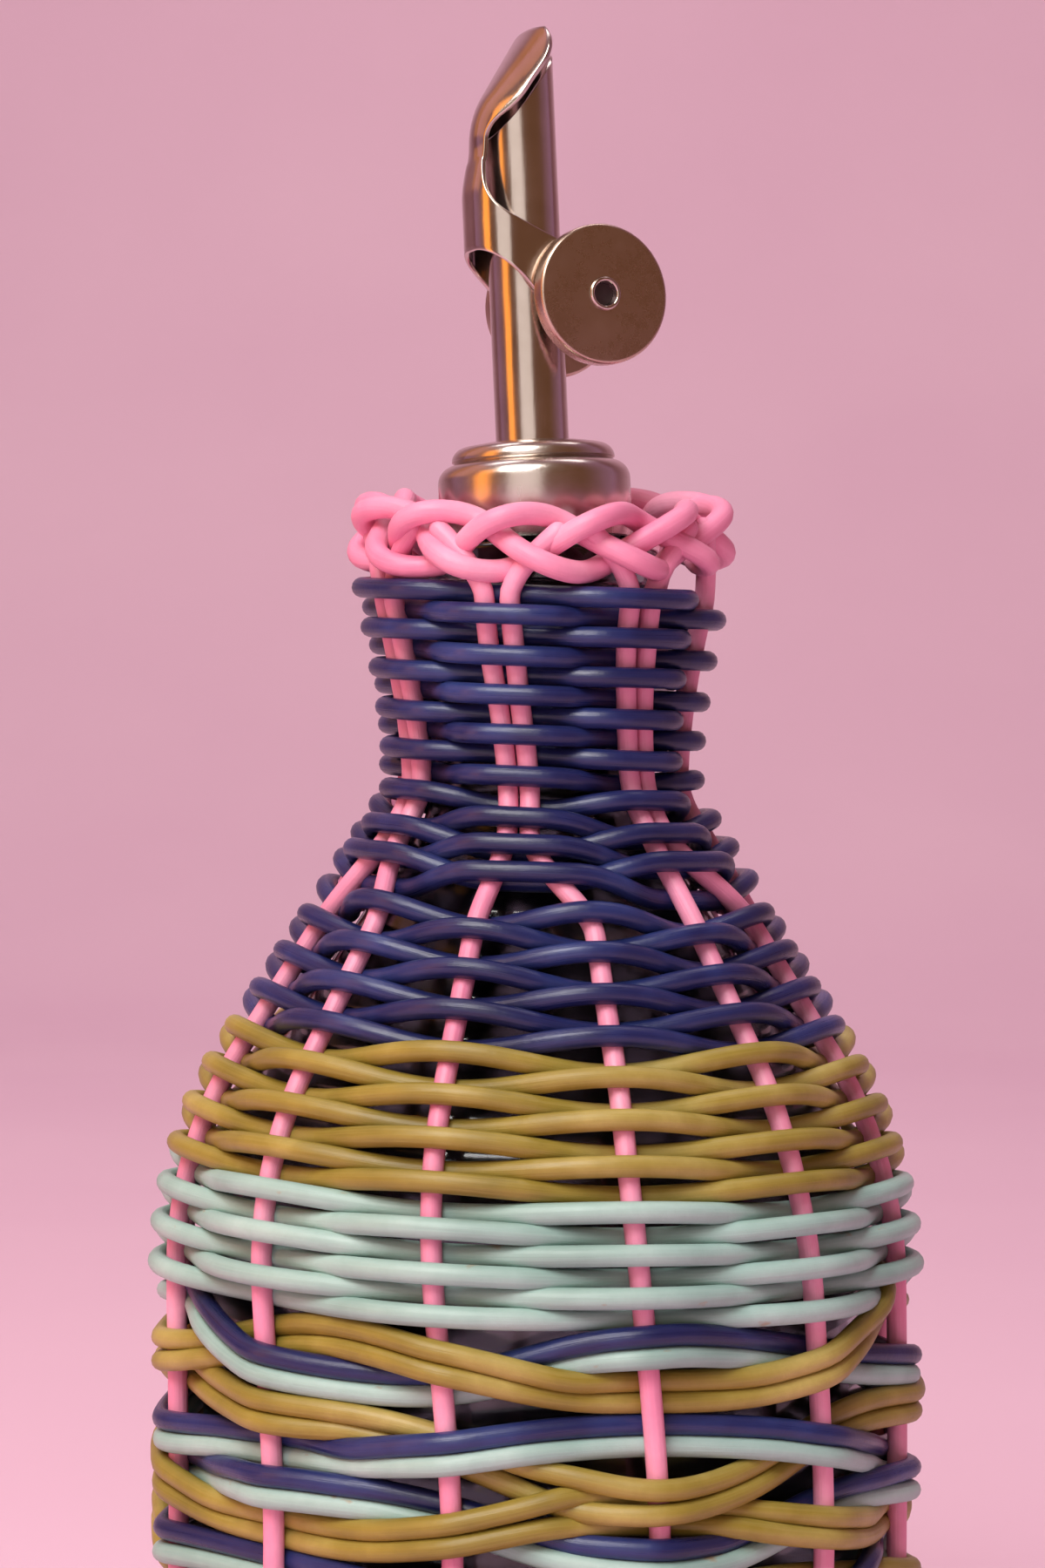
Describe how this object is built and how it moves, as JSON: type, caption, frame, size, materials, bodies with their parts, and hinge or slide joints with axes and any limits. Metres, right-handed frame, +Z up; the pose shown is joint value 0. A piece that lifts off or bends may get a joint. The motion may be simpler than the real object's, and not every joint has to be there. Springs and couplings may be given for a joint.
{
  "type": "woven oil pourer",
  "caption": "Oil bottle of glass dressed in woven coloured plastic cord, closed by a steel pourer whose weighted flap hangs shut over the slanted spout and swings open when tipped.",
  "frame": {"origin": "middle of the flat underside of the woven base", "axes": "+Z up the axis of the bottle, -Y to the front as seen in the picture, +X to the right as seen from the front"},
  "size_m": [0.1103, 0.1108, 0.2645],
  "materials": {
    "glass": "clear, smooth",
    "pink_cord": "satin extruded plastic cord",
    "navy_cord": "satin extruded plastic cord",
    "olive_cord": "satin extruded plastic cord",
    "mint_cord": "satin extruded plastic cord",
    "steel": "polished stainless sheet with fine scratches",
    "rubber": "matt"
  },
  "bodies": {
    "bottle": {"glass_bottle": "glass", "woven_base": "pink_cord", "stake_01": "pink_cord", "stake_02": "pink_cord", "stake_03": "pink_cord", "stake_04": "pink_cord", "stake_05": "pink_cord", "stake_06": "pink_cord", "stake_07": "pink_cord", "stake_08": "pink_cord", "stake_09": "pink_cord", "stake_10": "pink_cord", "stake_11": "pink_cord", "stake_12": "pink_cord", "stake_13": "pink_cord", "neck_weaver_navy": "navy_cord", "shoulder_weaver_navy": "navy_cord", "olive_weaver": "olive_cord", "mint_weaver": "mint_cord", "wave_weaver_navy": "navy_cord", "wave_weaver_mint": "mint_cord", "wave_weaver_olive_upper": "olive_cord", "wave_weaver_olive_lower": "olive_cord", "lower_mint_weaver": "mint_cord", "lower_olive_weaver": "olive_cord", "lower_navy_weaver": "navy_cord", "rim_strand_1": "pink_cord", "rim_strand_2": "pink_cord", "rim_strand_3": "pink_cord"},
    "pourer": {"steel_cap": "steel", "stopper": "rubber", "pour_tube": "steel", "vent_tube": "steel"},
    "flap": {"flap": "steel", "counterweight_near": "steel", "eyelet_near": "steel", "counterweight_far": "steel", "eyelet_far": "steel"}
  },
  "joints": [
    {"name": "pourer_lift", "type": "slide", "parent": "bottle", "child": "pourer", "axis": [0, 0, 1], "range_m": [0, 0.06]},
    {"name": "flap_hinge", "type": "hinge", "parent": "pourer", "child": "flap", "pos_m": [-0.00024, 0.0011, 0.22552], "axis": [0.4378, -0.8988, 0.0229], "range_deg": [0, 65]}
  ]
}
